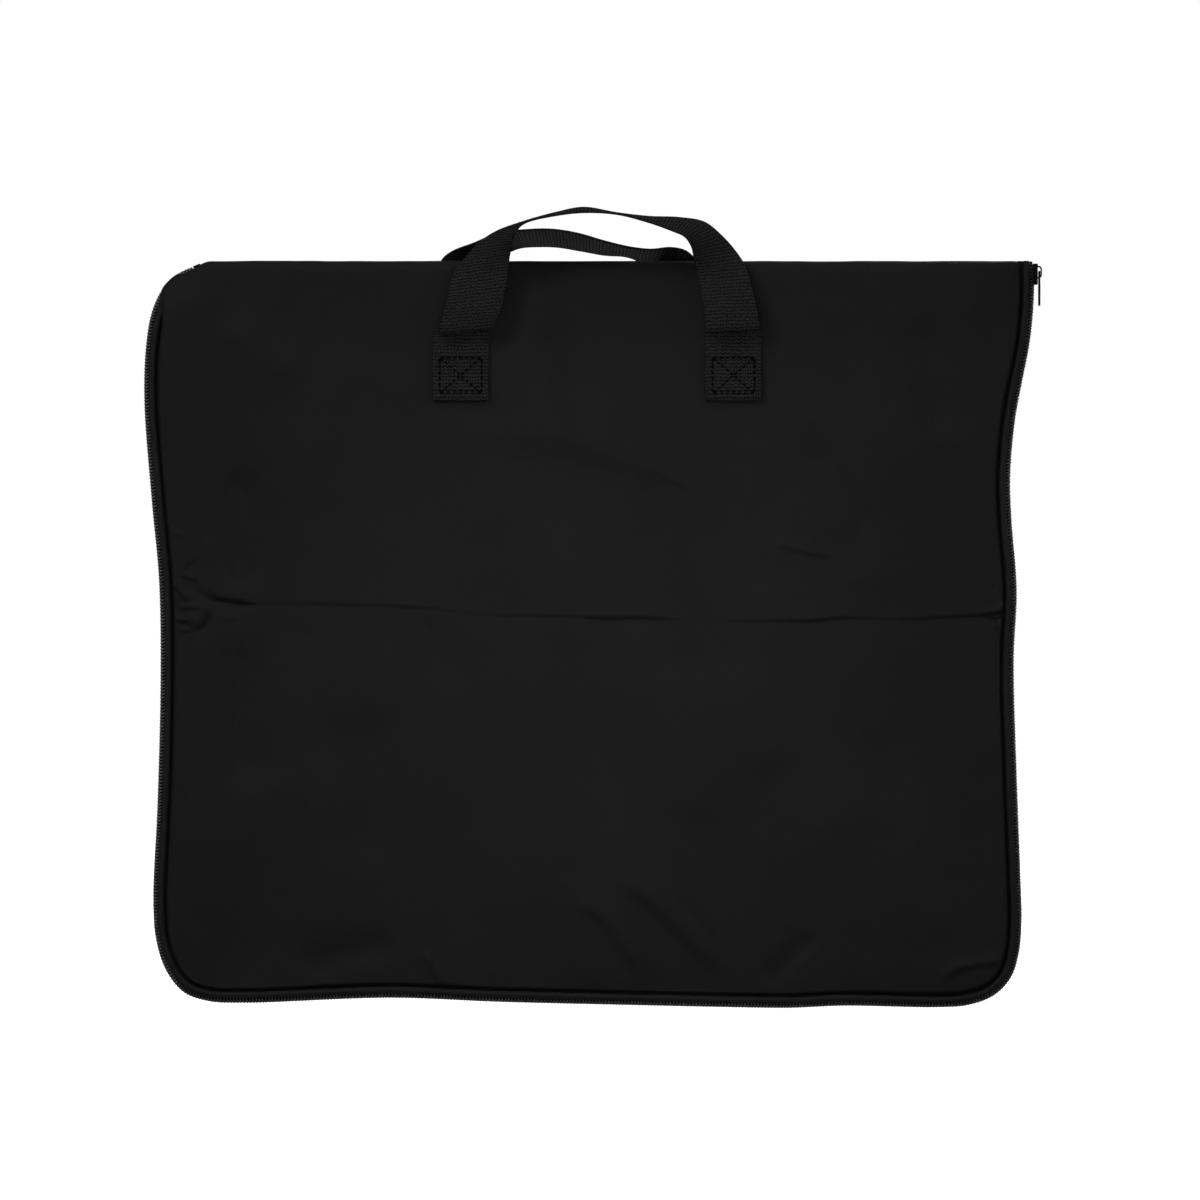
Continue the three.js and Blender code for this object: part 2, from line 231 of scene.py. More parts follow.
# ---------- materials ----------
class Nodes:
    """Short names for building a material's node tree."""

    def __init__(self, name):
        self.material = bpy.data.materials.new(name)
        self.material.use_nodes = True
        self.tree = self.material.node_tree
        self.surface = self.tree.nodes["Principled BSDF"]

    def node(self, kind, **settings):
        made = self.tree.nodes.new(kind)
        for key, value in settings.items():
            setattr(made, key, value)
        return made

    def link(self, a, b):
        self.tree.links.new(a, b)

    def math(self, operation, *values):
        made = self.node("ShaderNodeMath", operation=operation)
        for k, value in enumerate(values):
            if isinstance(value, (int, float)):
                made.inputs[k].default_value = value
            else:
                self.link(value, made.inputs[k])
        return made.outputs[0]

    def noise(self, vector, scale, detail=2.0, roughness=0.5):
        made = self.node("ShaderNodeTexNoise")
        made.inputs["Scale"].default_value = scale
        made.inputs["Detail"].default_value = detail
        made.inputs["Roughness"].default_value = roughness
        self.link(vector, made.inputs["Vector"])
        return made.outputs[0]

    def span(self, value, low, high):
        made = self.node("ShaderNodeMapRange")
        self.link(value, made.inputs["Value"])
        made.inputs["From Min"].default_value = 0.25
        made.inputs["From Max"].default_value = 0.75
        made.inputs["To Min"].default_value = low
        made.inputs["To Max"].default_value = high
        return made.outputs[0]

    def shades(self, value, dark, light):
        made = self.node("ShaderNodeMix", data_type="RGBA")
        self.link(value, made.inputs[0])
        made.inputs[6].default_value = (*dark, 1)
        made.inputs[7].default_value = (*light, 1)
        return made.outputs[2]

    def uv(self):
        made = self.node("ShaderNodeUVMap", uv_map="weave")
        parts = self.node("ShaderNodeSeparateXYZ")
        self.link(made.outputs[0], parts.inputs[0])
        return made.outputs[0], parts.outputs[0], parts.outputs[1]

    def bump(self, height, distance, strength=1.0, after=None):
        made = self.node("ShaderNodeBump")
        made.inputs["Strength"].default_value = strength
        made.inputs["Distance"].default_value = distance
        self.link(height, made.inputs["Height"])
        if after is not None:
            self.link(after, made.inputs["Normal"])
        return made.outputs[0]

    def finish(self, colour=None, roughness=None, normal=None, **plain):
        if colour is not None:
            self.link(colour, self.surface.inputs["Base Color"])
        if roughness is not None:
            self.link(roughness, self.surface.inputs["Roughness"])
        if normal is not None:
            self.link(normal, self.surface.inputs["Normal"])
        for key, value in plain.items():
            self.surface.inputs[key.replace("_", " ")].default_value = value
        return self.material


def grey(value, warm=0.0):
    """A grey of the given linear brightness; warm tips it towards red."""
    return (value * (1 + warm), value, value * (1 - warm))


def woven(name, dark, light, pitch, depth, rough, specular, sheen):
    """Plain-weave cloth: threads that pass over and under each other, of a pitch and depth in metres."""
    n = Nodes(name)
    uv, u, v = n.uv()
    across = n.math("SINE", n.math("MULTIPLY", u, math.pi / pitch))
    along = n.math("SINE", n.math("MULTIPLY", v, math.pi / pitch))
    over = n.math("MULTIPLY", across, along)
    thread_u = n.math("ABSOLUTE", across)
    thread_v = n.math("ABSOLUTE", along)
    first = n.math("GREATER_THAN", over, 0.0)
    second = n.math("SUBTRACT", 1.0, first)
    weave = n.math("ADD", n.math("MULTIPLY", thread_u, first), n.math("MULTIPLY", thread_v, second))
    slub = n.noise(uv, 900, 3.0)
    height = n.math("ADD", weave, n.math("MULTIPLY", slub, 0.35))
    wide = n.noise(uv, 11, 3.0)
    fine = n.noise(uv, 260, 4.0)
    shade = n.math("ADD", n.math("MULTIPLY", wide, 0.6), n.math("MULTIPLY", fine, 0.4))
    colour = n.shades(n.span(shade, 0.0, 1.0), dark, light)
    roughness = n.span(n.noise(uv, 30, 3.0), *rough)
    normal = n.bump(height, depth, 0.7)
    normal = n.bump(n.noise(uv, 70, 4.0), 0.0004, 0.35, normal)
    return n.finish(
        colour, roughness, normal, Specular_IOR_Level=specular, Sheen_Weight=sheen, Sheen_Roughness=0.5,
    )


def ribbed_webbing(name, dark, light, rib=0.0023, column=0.0018, depth=0.00055):
    """Heavy webbing: columns of warp yarn that cross ribs of weft in staggered rows; sizes in metres."""
    n = Nodes(name)
    uv, u, v = n.uv()
    drift = n.math("MULTIPLY", n.noise(uv, 120, 2.0), 0.0016)
    columns = n.math("DIVIDE", n.math("ADD", u, drift), column)
    odd = n.math("MODULO", n.math("FLOOR", n.math("ADD", columns, 1000.0)), 2.0)
    stagger = n.math("MULTIPLY", odd, 0.16)
    rows = n.math("ADD", n.math("DIVIDE", n.math("ADD", v, drift), rib), stagger)
    lump = n.math("ABSOLUTE", n.math("SINE", n.math("MULTIPLY", rows, math.pi)))
    groove = n.math("ABSOLUTE", n.math("SINE", n.math("MULTIPLY", columns, math.pi)))
    yarn = n.math("MULTIPLY", n.math("POWER", lump, 0.7), n.math("POWER", groove, 0.25))
    fibre = n.noise(uv, 1500, 3.0)
    speck = n.noise(uv, 850, 2.0)
    height = n.math("ADD", yarn, n.math("MULTIPLY", fibre, 0.3))
    height = n.math("ADD", height, n.math("MULTIPLY", speck, 0.5))
    wide = n.noise(uv, 40, 3.0)
    # Bright specks painted into the colour stand in for glints of fibres that catch the light.
    glint_specks = n.span(speck, -0.6, 1.6)
    # Painted shade and light: the yarn term makes the colour darker in the grooves between yarns and lighter
    # on their tops; the wide noise is the webbing's own tone.
    shade = n.math("ADD", n.math("MULTIPLY", yarn, 0.5), n.math("MULTIPLY", glint_specks, 0.25))
    shade = n.math("ADD", shade, n.math("MULTIPLY", wide, 0.2))
    colour = n.shades(n.span(shade, 0.0, 1.0), dark, light)
    roughness = n.span(speck, 0.72, 0.92)
    normal = n.bump(height, depth, 0.9)
    return n.finish(colour, roughness, normal, Specular_IOR_Level=0.0)


def drawn_nylon(name, dark, light):
    """Drawn nylon wire with a faint grain."""
    n = Nodes(name)
    where = n.node("ShaderNodeTexCoord").outputs["Object"]
    colour = n.shades(n.span(n.noise(where, 350, 3.0), 0, 1), dark, light)
    roughness = n.span(n.noise(where, 900, 3.0), 0.28, 0.45)
    normal = n.bump(n.noise(where, 2400, 2.0), 0.00005, 0.5)
    return n.finish(colour, roughness, normal, Specular_IOR_Level=0.5)


def painted_zinc(name):
    """Black paint on die-cast zinc, with paler wear on it."""
    n = Nodes(name)
    where = n.node("ShaderNodeTexCoord").outputs["Object"]
    wear = n.span(n.noise(where, 500, 5.0, 0.6), 0, 1)
    colour = n.shades(n.math("POWER", wear, 3.0), grey(0.003), grey(0.009, 0.05))
    roughness = n.span(n.noise(where, 1300, 3.0), 0.45, 0.62)
    normal = n.bump(n.noise(where, 1800, 3.0), 0.00006, 0.6)
    return n.finish(colour, roughness, normal, Metallic=0.0, Specular_IOR_Level=0.15)


def twisted_thread(name):
    """Polyester thread: two plies whose twist runs slanting across it."""
    n = Nodes(name)
    uv, u, v = n.uv()
    twist = n.math("SINE", n.math("ADD", n.math("MULTIPLY", u, 2600.0), n.math("MULTIPLY", v, 5200.0)))
    fuzz = n.noise(uv, 2600, 3.0)
    colour = n.shades(n.span(fuzz, 0, 1), grey(0.0008), grey(0.0022))
    roughness = n.span(fuzz, 0.45, 0.65)
    normal = n.bump(n.math("ADD", twist, fuzz), 0.00008, 0.7)
    return n.finish(colour, roughness, normal, Specular_IOR_Level=0.05)


CLOTH = woven(
    "outer_cloth", grey(0.0205), grey(0.0275), pitch=0.00052, depth=0.00010, rough=(0.44, 0.58),
    specular=0.05, sheen=0.01,
)
LINING = woven(
    "lining_cloth", grey(0.012), grey(0.018), pitch=0.00030, depth=0.00005, rough=(0.45, 0.6),
    specular=0.35, sheen=0.05,
)
BINDING = woven(
    "binding_cloth", grey(0.021), grey(0.029), pitch=0.00045, depth=0.00007, rough=(0.42, 0.54),
    specular=0.08, sheen=0.01,
)
TAPE = woven(
    "zip_tape", grey(0.015), grey(0.021), pitch=0.00075, depth=0.00018, rough=(0.65, 0.8),
    specular=0.04, sheen=0.01,
)
WEB = ribbed_webbing("webbing", grey(0.0075), grey(0.049))
COIL = drawn_nylon("zip_coil", grey(0.09), grey(0.24))
METAL = painted_zinc("slider_metal")
THREAD = twisted_thread("thread")


# ---------- the outer cloth ----------
# The points of the zip line where it turns the two lower corners, by its slope.
LOWER_LEFT = int(np.argmax((ZIP[:, 1] < 60) & (ZIP_WAY[:, 0] > -ZIP_WAY[:, 1])))
LOWER_RIGHT = LOWER_LEFT + int(np.argmax(ZIP_WAY[LOWER_LEFT:, 1] > ZIP_WAY[LOWER_LEFT:, 0]))

# The cloth's edge: it lies beside the zip, and at the top left it laps over the zip's end to the outline.
COVER_LINE = ZIP - (CLOTH_EDGE * smooth_step((ZIP_S - 30) / 28) ** 0.8)[:, None] * ZIP_OUT


def graded(length, coarse, zones):
    """Shares of a length whose steps are coarse, and fine inside each zone of (from, to, fine step)."""
    t = np.linspace(0, length, 3000)
    step = np.full(3000, float(coarse))
    for a, b, fine in zones:
        away = np.maximum(np.maximum(a - t, t - b), 0)
        step = np.minimum(step, fine + (coarse - fine) * smooth_step(away / 30))
    total = np.concatenate([[0], np.cumsum(np.diff(t) / step[1:])])
    return np.interp(np.linspace(0, total[-1], int(total[-1]) + 1), total, t) / length


def at_shares(points, shares):
    """Points at the given shares of a line's length."""
    s = lengths(points)
    return np.column_stack([np.interp(shares * s[-1], s, points[:, k]) for k in range(points.shape[1])])


def panel_grid(line, across, up, top, ends):
    """x and z of a grid that fills one panel inside an edge line, as rows by columns, lowest row first.
    across and up are the shares of its width and height at which its columns and rows lie."""
    left = line[: LOWER_LEFT + 1]
    left = np.vstack([[ends[0], top], left[left[:, 1] < top - 1.5]])[::-1]
    right = line[LOWER_RIGHT:]
    right = np.vstack([right[right[:, 1] < top - 1.5], [ends[1], top]])
    left, right = at_shares(left, up), at_shares(right, up)
    bottom = at_shares(line[LOWER_LEFT : LOWER_RIGHT + 1], across)
    u = across[None, :, None]
    v = up[:, None, None]
    upper = np.column_stack([ends[0] + (ends[1] - ends[0]) * across, np.full(len(across), top)])
    corners = (1 - u) * (1 - v) * bottom[0] + u * (1 - v) * bottom[-1]
    corners = corners + (1 - u) * v * upper[0] + u * v * upper[-1]
    grid = (1 - v) * bottom[None] + v * upper[None] + (1 - u) * left[:, None] + u * right[:, None] - corners
    return grid[..., 0], grid[..., 1]


def from_seam(x, z, edge_line):
    """Distance from the edge of the cloth at the zip, and how far along the edge that is."""
    line = edge_line[::5]
    run = lengths(line)
    flat = np.column_stack([x.ravel(), z.ravel()])
    best = np.full(len(flat), 1e9)
    where = np.zeros(len(flat))
    for start in range(0, len(line) - 1, 40):
        a = line[start : start + 41][:-1]
        b = line[start : start + 41][1:]
        way = b - a
        t = np.einsum("nkd,kd->nk", flat[:, None] - a[None], way) / (way**2).sum(1)
        t = np.clip(t, 0, 1)
        gap = np.linalg.norm(flat[:, None] - a[None] - t[..., None] * way[None], axis=2)
        k = gap.argmin(1)
        row = np.arange(len(flat))
        closer = gap[row, k] < best
        along = run[start + k] + t[row, k] * (run[start + k + 1] - run[start + k])
        where = np.where(closer, along, where)
        best = np.where(closer, gap[row, k], best)
    return best.reshape(x.shape), where.reshape(x.shape)


def ridge(x, z, line, width, height, lean=0.0, ends=0.25):
    """A soft ridge, or a valley if height is negative, along a line of (x, z) points. lean makes it steeper
    on the right-hand side of the line, and ends is the share of its length over which it fades in and out."""
    knots = np.array(line, float)
    line = even(centripetal(knots, 8), 16)
    run = lengths(line)
    low = line.min(0) - 4 * width
    high = line.max(0) + 4 * width
    near = (x > low[0]) & (x < high[0]) & (z > low[1]) & (z < high[1])
    out = np.zeros_like(x)
    if not near.any():
        return out
    p = np.column_stack([x[near], z[near]])
    a = line[:-1]
    way = np.diff(line, axis=0)
    t = np.einsum("nkd,kd->nk", p[:, None] - a[None], way) / (way**2).sum(1)
    gap = p[:, None] - a[None] - np.clip(t, 0, 1)[..., None] * way[None]
    far = np.linalg.norm(gap, axis=2)
    k = far.argmin(1)
    row = np.arange(len(p))
    side = np.sign(gap[row, k, 0] * way[k, 1] - gap[row, k, 1] * way[k, 0])
    share = (run[k] + np.clip(t[row, k], 0, 1) * (run[k + 1] - run[k])) / run[-1]
    fade = smooth_step(share / ends) * smooth_step((1 - share) / ends)
    scaled = far[row, k] / np.where(side > 0, width * (1 - lean), width * (1 + lean))
    out[near] = height * np.exp(-(scaled**2)) * fade
    return out


def bulge(x, z, at, size, height):
    """A soft lump, or a dent if height is negative."""
    return height * np.exp(-(((x - at[0]) / size[0]) ** 2 + ((z - at[1]) / size[1]) ** 2))


# Soft folds of the front: (points, width, height, lean)
FRONT_FOLDS = [
    ([(-150, 427), (-87, 400), (-20, 388), (42, 368), (78, 349)], 19, 1.7, 0.35),
    ([(34, 369), (60, 358), (78, 346)], 4, 0.8, 0.3),
    ([(142, 398), (160, 366), (182, 330), (168, 290)], 16, -1.8, -0.3),
    ([(124, 317), (145, 311), (165, 307)], 3.2, 0.9, 0.4),
    ([(-243, 370), (-238, 320), (-236, 280)], 12, -1.8, 0.3),
    ([(-118, 270), (-104, 244), (-86, 214)], 8, -1.3, 0.2),
    ([(-240, 258), (-238, 200), (-232, 140)], 15, -1.7, 0.2),
    ([(-8, 80), (14, 52), (38, 22)], 9, 1.6, 0.35),
    ([(18, 93), (50, 66), (92, 22)], 9, 1.8, 0.4),
    ([(52, 84), (76, 54), (96, 26)], 4, -1.0, 0.0),
    ([(-113, 40), (-106, 26), (-101, 14)], 3, 1.3, 0.3),
    ([(118, 14), (134, 32), (154, 54)], 8, -1.5, 0.2),
    ([(236, 17), (246, 27), (262, 31), (282, 33)], 3.4, 1.4, 0.3),
    ([(-200, 22), (-170, 36), (-128, 44)], 12, -1.4, 0.1),
    ([(-6, 70), (20, 40), (30, 16)], 4, -0.8, 0.0),
    ([(215, 470), (232, 430), (236, 380)], 16, -1.3, 0.2),
    ([(-250, 470), (-222, 440), (-190, 430)], 14, 1.0, 0.2),
    ([(-30, 470), (-12, 440), (-20, 405)], 14, -1.1, 0.1),
    ([(60, 240), (72, 180), (60, 120)], 26, 1.1, 0.1),
    ([(-160, 210), (-150, 150), (-168, 90)], 24, -1.0, 0.1),
    ([(190, 200), (200, 140), (190, 90)], 22, -0.9, 0.1),
    ([(96, 238), (110, 190), (140, 160)], 18, 0.8, 0.1),
]

# The crumple where the shipping fold meets the zip, left then right: (points, width, height, lean)
GATHERS = [
    ([(-284, 290), (-278.5, 284), (-273, 275.5)], 2.7, 1.9, 0.25),
    ([(-280, 295), (-273, 293.5), (-265, 290)], 1.9, 1.2, 0.3),
    ([(-277, 296), (-272, 300), (-266, 305)], 1.9, -1.0, 0.0),
    ([(-271, 288), (-264, 281), (-255, 277.4), (-243, 275.4), (-226, 274.2)], 2.4, -2.1, 0.2),
    ([(-282, 272), (-273, 273), (-262, 272.5)], 2.2, 1.3, 0.2),
    ([(-283, 265), (-278, 264), (-272, 264)], 1.3, 1.0, 0.2),
    ([(-282, 261.5), (-277, 260.6), (-271, 260.5)], 1.3, -1.0, 0.0),
    ([(-281, 257.5), (-277, 257), (-271, 257.4)], 1.5, 0.9, 0.2),
    ([(-264, 272), (-259.5, 266), (-262.5, 259), (-272, 254.5)], 2.1, -1.6, -0.2),
    ([(-264, 328), (-261, 322), (-266, 317)], 1.8, -0.6, 0.0),
    ([(-288, 327), (-283, 323), (-277, 321)], 1.8, 0.6, 0.2),
    ([(-257, 268), (-250, 266), (-238, 266)], 2.6, 0.5, 0.0),
    ([(284, 279), (277, 272), (263, 268)], 2.2, 1.2, 0.3),
    ([(284, 270), (277, 267), (264, 265.6)], 1.8, -1.4, 0.0),
    ([(284, 254), (278, 259), (270, 262)], 2.2, 1.2, 0.2),
    ([(284, 291), (278, 285), (271, 281)], 2.4, 0.6, 0.2),
]
GATHER_LUMPS = [
    ((-268.5, 264.5), (5.2, 6.0), 2.7), ((-259.0, 262), (4.0, 8.0), -1.2), ((281, 264), (3.4, 4.2), 1.3),
    ((-279, 280), (4, 5), 0.8),
]

# The shipping fold across the middle: (x, z, strength)
SHIPPING_FOLD = [
    (-290, 274, 0.1), (-264, 277, 0.15), (-254, 276.6, 0.9), (-234, 275, 1.0), (-226, 274.6, 0.3),
    (-190, 274.6, 0.42), (-150, 273.6, 0.36), (-117, 272, 0.55), (-100, 269.8, 0.28), (-72, 267.4, 0.16),
    (-56, 266.6, 0.4), (-26, 265.8, 0.52), (-10, 265.4, 0.4), (2, 265.2, 0.9), (38, 264.8, 0.85),
    (54, 264.2, 0.35), (88, 263.4, 0.14), (100, 263.2, 0.4), (130, 262.6, 0.6), (148, 263.2, 0.95),
    (166, 264.6, 0.75), (184, 265.2, 0.4), (200, 264.6, 0.2), (213, 264.2, 0.5), (242, 265.4, 0.7),
    (272, 267.4, 0.8), (290, 268, 0.9),
]


# How strongly each kind of fold shows
BROAD_FOLD, FINE_FOLD, GATHER, FRONT_CREASE = 3.1, 2.0, 1.45, 1.35
BACK_FOLD, BACK_CREASE = 1.1, 0.7


def shipping_fold(x, z):
    """A pinched fold: the cloth above stands a little proud and drops over a short step."""
    knots = centripetal(SHIPPING_FOLD, 8)
    order = np.argsort(knots[:, 0])
    line = np.interp(x, knots[order, 0], knots[order, 1])
    strength = np.interp(x, knots[order, 0], knots[order, 2])
    line = line + 0.5 * noise_field(x, x * 0, 22, 61)
    rel = z - line
    above = np.exp(-np.maximum(rel, 0) / 9)
    below = np.exp(-np.maximum(-rel, 0) / 6)
    step = 0.5 + 0.5 * np.tanh(rel / 0.9)
    return strength * (1.5 * above * step - 1.2 * below * (1 - step) - 1.0 * np.exp(-((rel / 1.3) ** 2)))


def pinch(x, z):
    """How much the panel thins towards the two top corners."""
    left = np.exp(-(((x + 283) / 15) ** 2 + ((z - 500) / 17) ** 2))
    right = np.exp(-(((x - 297) / 10) ** 2 + ((z - HEIGHT) / 16) ** 2))
    return 0.45 * left + 0.35 * right


def relief(x, z, side):
    """How far the cloth stands from the middle plane, in millimetres."""
    edge, along = from_seam(x, z, COVER_LINE)
    depth = HALF_DEPTH * (1 - pinch(x, z))
    lapped = 1 - smooth_step((along - 24) / 34)
    depth += (-5.4 + 3 * lapped) * np.exp(-((edge / 1.3) ** 2)) - 1.0 * np.exp(-edge / 7)
    depth += 3.0 * smooth_step(edge / 130) * smooth_step((PANEL_TOP - z) / 150)
    depth -= 2.4 * lapped * np.exp(-((edge / 5) ** 2))
    calm = smooth_step((PANEL_TOP - z) / 22)
    waves = 2.2 * noise_field(x, z, 130, 3 * side) + 1.2 * noise_field(x, z, 52, 5 * side)
    waves += 0.16 * noise_field(x, z, 17, 9 * side) * (0.4 + 0.6 * np.exp(-edge / 40))
    tucks = np.interp(along, np.arange(0, 1700, 1.5), wander(np.arange(0, 1700, 1.5), 7, 14 * side))
    waves += 0.42 * tucks * np.exp(-edge / 8) * smooth_step((PANEL_TOP - z) / 30)
    depth += waves * (0.35 + 0.65 * calm) * smooth_step(edge / 4)
    fold = shipping_fold(x, z)
    if side == 1:
        for line, width, height, lean in FRONT_FOLDS:
            depth += (BROAD_FOLD if width > 10 else FINE_FOLD) * ridge(x, z, line, width, height, lean)
        for line, width, height, lean in GATHERS:
            depth += GATHER * ridge(x, z, line, width, height, lean, 0.3)
        for place, size, height in GATHER_LUMPS:
            depth += bulge(x, z, place, size, height)
        depth += FRONT_CREASE * fold
    else:
        for line, width, height, lean in FRONT_FOLDS[::2]:
            turned = [(20 - px, pz - 12) for px, pz in line]
            depth += BACK_FOLD * ridge(x, z, turned, width, height, lean)
        depth += BACK_CREASE * fold
    # Under the sewn ends of the handle it is flat.
    for ends in (FRONT_LEFT, FRONT_RIGHT) if side == 1 else (BACK_LEFT, BACK_RIGHT):
        low, high = sorted(ends)
        beside = np.maximum(np.maximum(low - x, x - high), 0)
        beyond = np.maximum(np.maximum(SEWN_Z[0] - z, z - SEWN_Z[1]), 0)
        depth += (HALF_DEPTH - depth) * (1 - smooth_step(np.hypot(beside, beyond) / 38))
    # Away from the seam it eases down to the lining and no further.
    inner, sharp = 3, 2.2
    least = LEAST_DEPTH + (LINING_DEPTH + 0.6 - LEAST_DEPTH) * smooth_step((edge - inner) / 14)
    eased = least + np.log1p(np.exp(sharp * (depth - least))) / sharp
    return np.maximum(np.where(edge > inner, eased, depth), LEAST_DEPTH)


def cover_surface(across, up_front, up_back, roll_rows):
    """The outer cloth from the front's lower edge, over the fold and down to the back's lower edge."""
    x, z = panel_grid(COVER_LINE, across, up_front, PANEL_TOP, FOLD_X)
    back_x, back_z = panel_grid(COVER_LINE, across, up_back, PANEL_TOP, FOLD_X)
    front = relief(x, z, 1)
    back = relief(back_x, back_z, -1)
    top_x = x[-1]
    angle = np.linspace(0, math.pi, roll_rows + 2)[1:-1, None]
    depth = 0.5 * (front[-1] + back[-1])[None] + 0.5 * (front[-1] - back[-1])[None] * np.cos(angle)
    droop = 0.25 * noise_field(top_x, top_x * 0, 60, 33) + 0.12 * noise_field(top_x, top_x * 0, 17, 35)
    sink = 9 * (1 - smooth_step((top_x - FOLD_X[0]) / 23)) + 0.8 * np.exp(-(((top_x - 296) / 5) ** 2))
    roll_z = PANEL_TOP + (ROLL_HEIGHT + (droop - sink)[None]).clip(0.3) * np.sin(angle) ** 0.92
    roll = np.stack([np.repeat(top_x[None], roll_rows, 0), -depth * np.cos(angle), roll_z], -1)
    points = np.concatenate([
        np.stack([x, -front, z], -1),
        roll,
        np.stack([back_x, back, back_z], -1)[::-1],
    ])
    over = HALF_DEPTH * 2.6
    turn = PANEL_TOP + over * np.linspace(0, 1, roll_rows + 2)[1:-1, None]
    run = np.concatenate([z, np.repeat(turn, len(across), 1), 2 * PANEL_TOP + over - back_z[::-1]])
    return points, np.stack([points[..., 0], run], -1)


def make_cover():
    """The outer cloth of both panels in one piece; its grid is fine at the seam, the gathers and the fold."""
    wide, tall = 572, 487
    across = graded(wide, 2.3, [(0, 3, 0.6), (3, 46, 0.95), (556, 569, 1.1), (569, wide, 0.6)])
    up = graded(tall, 2.4, [(0, 3, 0.6), (228, 300, 0.85), (462, tall, 1.6)])
    up_back = graded(tall, 3.2, [(0, 3, 0.6), (240, 275, 1.2), (470, tall, 1.8)])
    points, uv = cover_surface(across, up, up_back, 18)
    faces = grid_faces(points.shape[0], len(across))
    cover = make("outer_cover", points.reshape(-1, 3), faces, CLOTH, uv.reshape(-1, 2))
    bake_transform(cover)
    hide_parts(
        "front_outer_cloth", "back_outer_cloth", "spine_cloth", "front_foam_pad", "back_foam_pad",
    )


def make_lining():
    """One lining from the front panel, under the fold, to the back panel."""
    columns, rows, roll_rows = 120, 100, 10
    over = 14                    # length of lining that goes over the fold
    line = ZIP - (CLOTH_EDGE + 1.2) * ZIP_OUT
    x, z = panel_grid(line, np.linspace(0, 1, columns), np.linspace(0, 1, rows), PANEL_TOP, LINING_X)
    edge, _ = from_seam(x, z, line)
    quilt = 0.5 * noise_field(x, z, 90, 71) + 0.2 * noise_field(x, z, 30, 73)
    sag = (quilt - 0.5) * smooth_step(edge / 20)
    front = np.maximum(LINING_DEPTH + sag - 1.0 * pinch(x, z), LEAST_DEPTH)
    angle = np.linspace(0, math.pi, roll_rows + 2)[1:-1, None]
    roll = np.stack([
        np.repeat(x[-1][None], roll_rows, 0),
        -front[-1][None] * np.cos(angle),
        np.repeat(PANEL_TOP + 3.2 * np.sin(angle), columns, 1),
    ], -1)
    points = np.concatenate([np.stack([x, -front, z], -1), roll, np.stack([x, front, z], -1)[::-1]])
    turn = np.repeat(PANEL_TOP + over * angle / math.pi, columns, 1)
    run = np.concatenate([z, turn, 2 * PANEL_TOP + over - z[::-1]])
    uv = np.stack([points[..., 0], run], -1).reshape(-1, 2)
    faces = grid_faces(points.shape[0], columns)[:, ::-1]
    lining = make("case_lining", points.reshape(-1, 3), faces, LINING, uv)
    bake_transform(lining)
    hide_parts("front_lining", "back_lining")


# ---------- the zip and its binding ----------
# Sections as (distance from the middle plane, distance out from the zip line).
BINDING_SECTION = rounded([
    (4.7, -3.7), (7.0, -3.6), (9.7, -4.6), (10.3, -6.3), (9.2, -7.8), (6.4, -8.1), (5.3, -7.4), (4.9, -5.4),
])
TAPE_SECTION = [
    (1.0, -1.7), (1.7, -1.7), (2.3, -3.2), (4.3, -4.6), (4.9, -7.0), (4.7, -9.0), (6.2, -11.4),
    (5.6, -11.6), (4.1, -9.2), (4.2, -7.0), (3.7, -5.0), (1.6, -3.6),
]


def thinned(s):
    """The share of its depth that the zip's edge keeps where it runs in under the cloth at the top left."""
    return 0.42 + 0.58 * smooth_step((s - 42) / 18)


def section_uv(section, steps):
    """Weave coordinates of rings: round the section, and along the zip."""
    across = lengths(np.vstack([section, section[:1]]))[:-1]
    return np.stack([np.repeat(across[None], len(steps), 0), np.repeat(steps[:, None], len(across), 1)], -1)


def make_edge(name, side, body):
    """One half of binding, tape and coil. The CAD's front half stops under the slider; here it runs on."""
    # The strips run on past the zip line and stop just short of the hinge, clear of each other when it opens.
    whole = ZIP_S[-1]
    steps = np.append(np.arange(36.0, whole + 1.0, 2.0), whole + 2.0)
    tuck = thinned(steps)
    pucker = 1 + 0.07 * wander(steps, 14, 2 * side) + 0.05 * wander(steps, 5, 4 * side)
    lift = 0.35 * wander(steps, 60, 6 * side) + 0.15 * wander(steps, 11, 8 * side)
    rings = edge_rings(steps, BINDING_SECTION, side, lift, pucker)
    rings[..., 1] *= tuck[:, None]
    uv = section_uv(BINDING_SECTION, steps)
    binding = tube(name + "_binding_strip", rings, BINDING, uv, flip=side == -1)
    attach(binding, body)
    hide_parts(name + "_edge_binding")

    steps = np.append(np.arange(5.0, whole + 1.0, 3.0), whole + 2.0)
    rings = edge_rings(steps, TAPE_SECTION, side)
    rings[..., 1] *= np.maximum(thinned(steps), 0.64)[:, None]
    uv = section_uv(TAPE_SECTION, steps)
    tape = tube(name + "_woven_tape", rings, TAPE, uv, flip=side == -1)
    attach(tape, body)
    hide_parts(name + "_zip_tape")

    coil = make_coil(name, side, 6.0, whole + 1.4)
    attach(coil, body)
    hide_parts(name + "_zip_coil")


